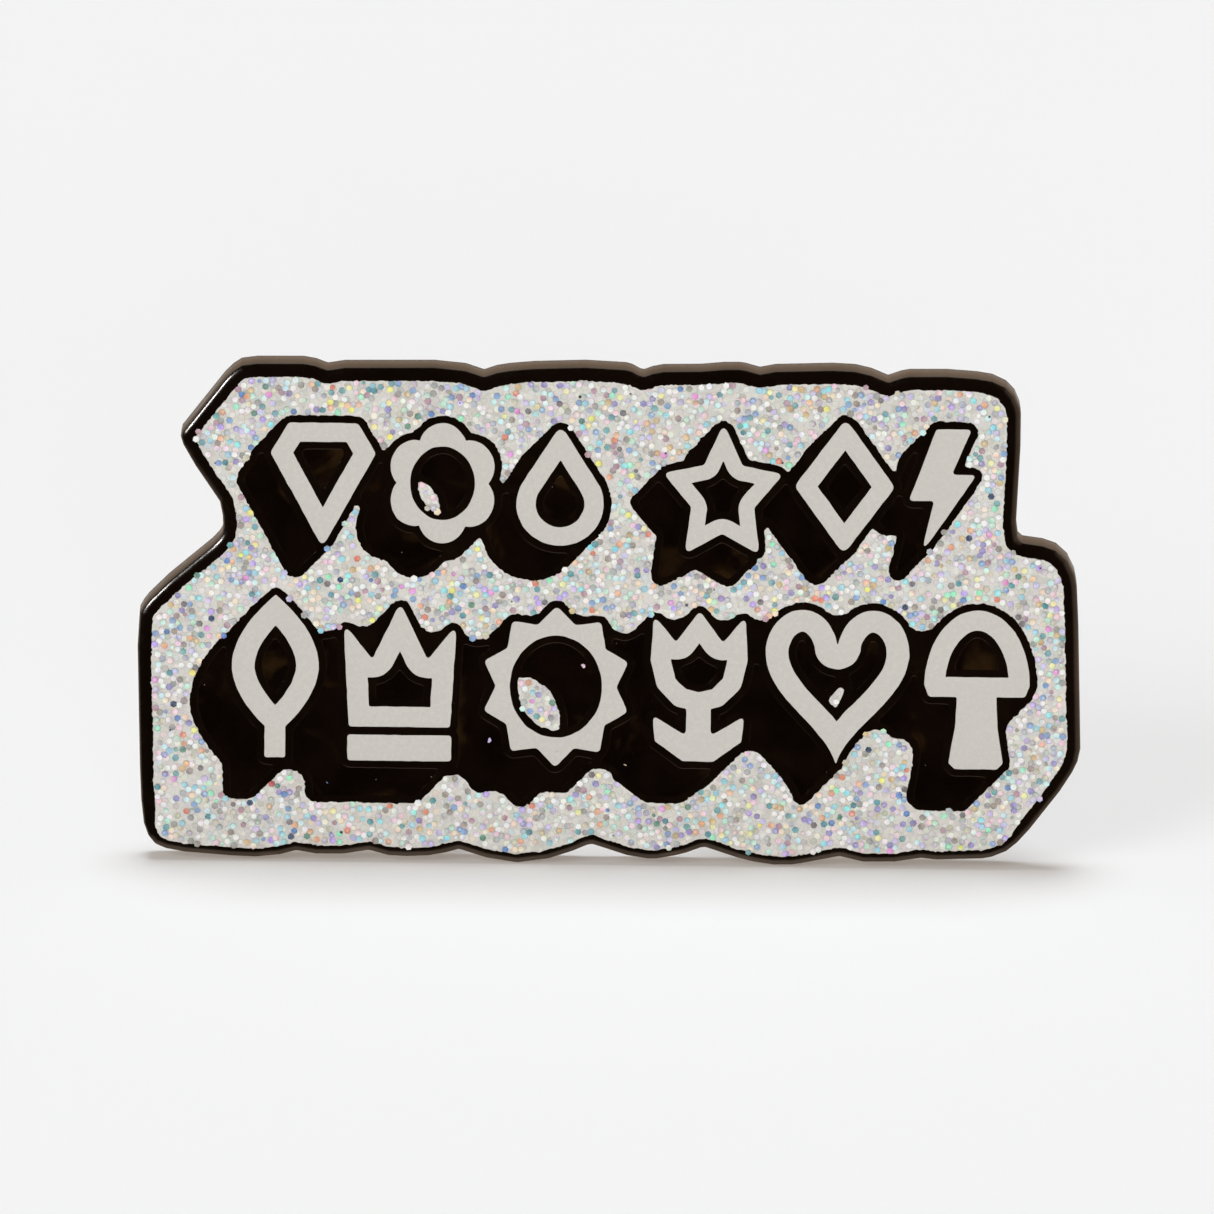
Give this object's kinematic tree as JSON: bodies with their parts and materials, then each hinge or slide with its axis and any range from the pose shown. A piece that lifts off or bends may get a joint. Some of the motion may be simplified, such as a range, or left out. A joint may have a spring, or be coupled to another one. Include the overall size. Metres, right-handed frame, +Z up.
{
  "type": "enamel pin",
  "caption": "Wide glitter enamel pin with a wavy edge, two rows of white drop-shadowed pictograms, soldered posts behind and butterfly clutches that slide off.",
  "frame": {"origin": "centre of the flat back face of the plate, midway between the posts", "axes": "+X to the right seen from the front, +Y out of the back along the posts, +Z up as worn"},
  "size_m": [0.0382, 0.0093, 0.021],
  "materials": {
    "black_nickel": "polished black nickel plating",
    "white_enamel": "glossy warm white enamel resin",
    "black_enamel": "glossy black enamel resin",
    "glitter_enamel": "clear resin packed with silver and pastel hexagonal glitter",
    "post_nickel": "nickel plated",
    "solder": "dull soft solder",
    "clutch_nickel": "nickel plated pressed sheet"
  },
  "bodies": {
    "pin": {"base_plate": "black_nickel", "enamel_gem": "white_enamel", "enamel_flower": "white_enamel", "enamel_drop": "white_enamel", "enamel_star": "white_enamel", "enamel_kite": "white_enamel", "enamel_bolt": "white_enamel", "enamel_leaf": "white_enamel", "enamel_crown": "white_enamel", "enamel_crown_band": "white_enamel", "enamel_sun": "white_enamel", "enamel_tulip": "white_enamel", "enamel_heart": "white_enamel", "enamel_mushroom": "white_enamel", "shadow_enamel_01": "black_enamel", "shadow_enamel_02": "black_enamel", "shadow_enamel_03": "black_enamel", "shadow_enamel_04": "black_enamel", "shadow_enamel_05": "black_enamel", "shadow_enamel_06": "black_enamel", "shadow_enamel_07": "black_enamel", "shadow_enamel_08": "black_enamel", "shadow_enamel_09": "black_enamel", "shadow_enamel_10": "black_enamel", "shadow_enamel_11": "black_enamel", "shadow_enamel_12": "black_enamel", "shadow_enamel_13": "black_enamel", "shadow_enamel_14": "black_enamel", "shadow_enamel_15": "black_enamel", "shadow_enamel_16": "black_enamel", "shadow_enamel_17": "black_enamel", "shadow_enamel_18": "black_enamel", "shadow_enamel_19": "black_enamel", "shadow_enamel_20": "black_enamel", "shadow_enamel_21": "black_enamel", "shadow_enamel_22": "black_enamel", "shadow_enamel_23": "black_enamel", "shadow_enamel_24": "black_enamel", "shadow_enamel_25": "black_enamel", "glitter_field": "glitter_enamel", "glitter_island_1": "glitter_enamel", "glitter_island_2": "glitter_enamel", "glitter_island_3": "glitter_enamel", "post_left": "post_nickel", "solder_left": "solder", "post_right": "post_nickel", "solder_right": "solder"},
    "clutch_cap_left": {"clutch_cap_left": "clutch_nickel"},
    "clutch_spring_left": {"clutch_saddle_left": "clutch_nickel"},
    "wing_lower_left": {"clutch_wing_lower_left": "clutch_nickel"},
    "wing_upper_left": {"clutch_wing_upper_left": "clutch_nickel"},
    "clutch_cap_right": {"clutch_cap_right": "clutch_nickel"},
    "clutch_spring_right": {"clutch_saddle_right": "clutch_nickel"},
    "wing_lower_right": {"clutch_wing_lower_right": "clutch_nickel"},
    "wing_upper_right": {"clutch_wing_upper_right": "clutch_nickel"}
  },
  "joints": [
    {"name": "clutch_left_slides_on_post", "type": "slide", "parent": "pin", "child": "clutch_cap_left", "axis": [0, 1, 0], "range_m": [0, 0.009]},
    {"name": "clutch_left_turns_on_post", "type": "hinge", "parent": "clutch_cap_left", "child": "clutch_spring_left", "pos_m": [-0.01, 0.00146, 0], "axis": [0, 1, 0], "continuous": true},
    {"name": "lower_wing_left_squeeze", "type": "hinge", "parent": "clutch_spring_left", "child": "wing_lower_left", "pos_m": [-0.01, 0.00186, 0.0037], "axis": [1, 0, 0], "range_deg": [0, 7], "stiffness_Nm_per_rad": 0.02, "springref_deg": -8.59},
    {"name": "upper_wing_left_squeeze", "type": "hinge", "parent": "clutch_spring_left", "child": "wing_upper_left", "pos_m": [-0.01, 0.00233, -0.00335], "axis": [-1, 0, 0], "range_deg": [0, 7], "stiffness_Nm_per_rad": 0.02, "springref_deg": -8.59},
    {"name": "clutch_right_slides_on_post", "type": "slide", "parent": "pin", "child": "clutch_cap_right", "axis": [0, 1, 0], "range_m": [0, 0.009]},
    {"name": "clutch_right_turns_on_post", "type": "hinge", "parent": "clutch_cap_right", "child": "clutch_spring_right", "pos_m": [0.01, 0.00146, 0], "axis": [0, 1, 0], "continuous": true},
    {"name": "lower_wing_right_squeeze", "type": "hinge", "parent": "clutch_spring_right", "child": "wing_lower_right", "pos_m": [0.01, 0.00186, 0.0037], "axis": [1, 0, 0], "range_deg": [0, 7], "stiffness_Nm_per_rad": 0.02, "springref_deg": -8.59},
    {"name": "upper_wing_right_squeeze", "type": "hinge", "parent": "clutch_spring_right", "child": "wing_upper_right", "pos_m": [0.01, 0.00233, -0.00335], "axis": [-1, 0, 0], "range_deg": [0, 7], "stiffness_Nm_per_rad": 0.02, "springref_deg": -8.59}
  ]
}
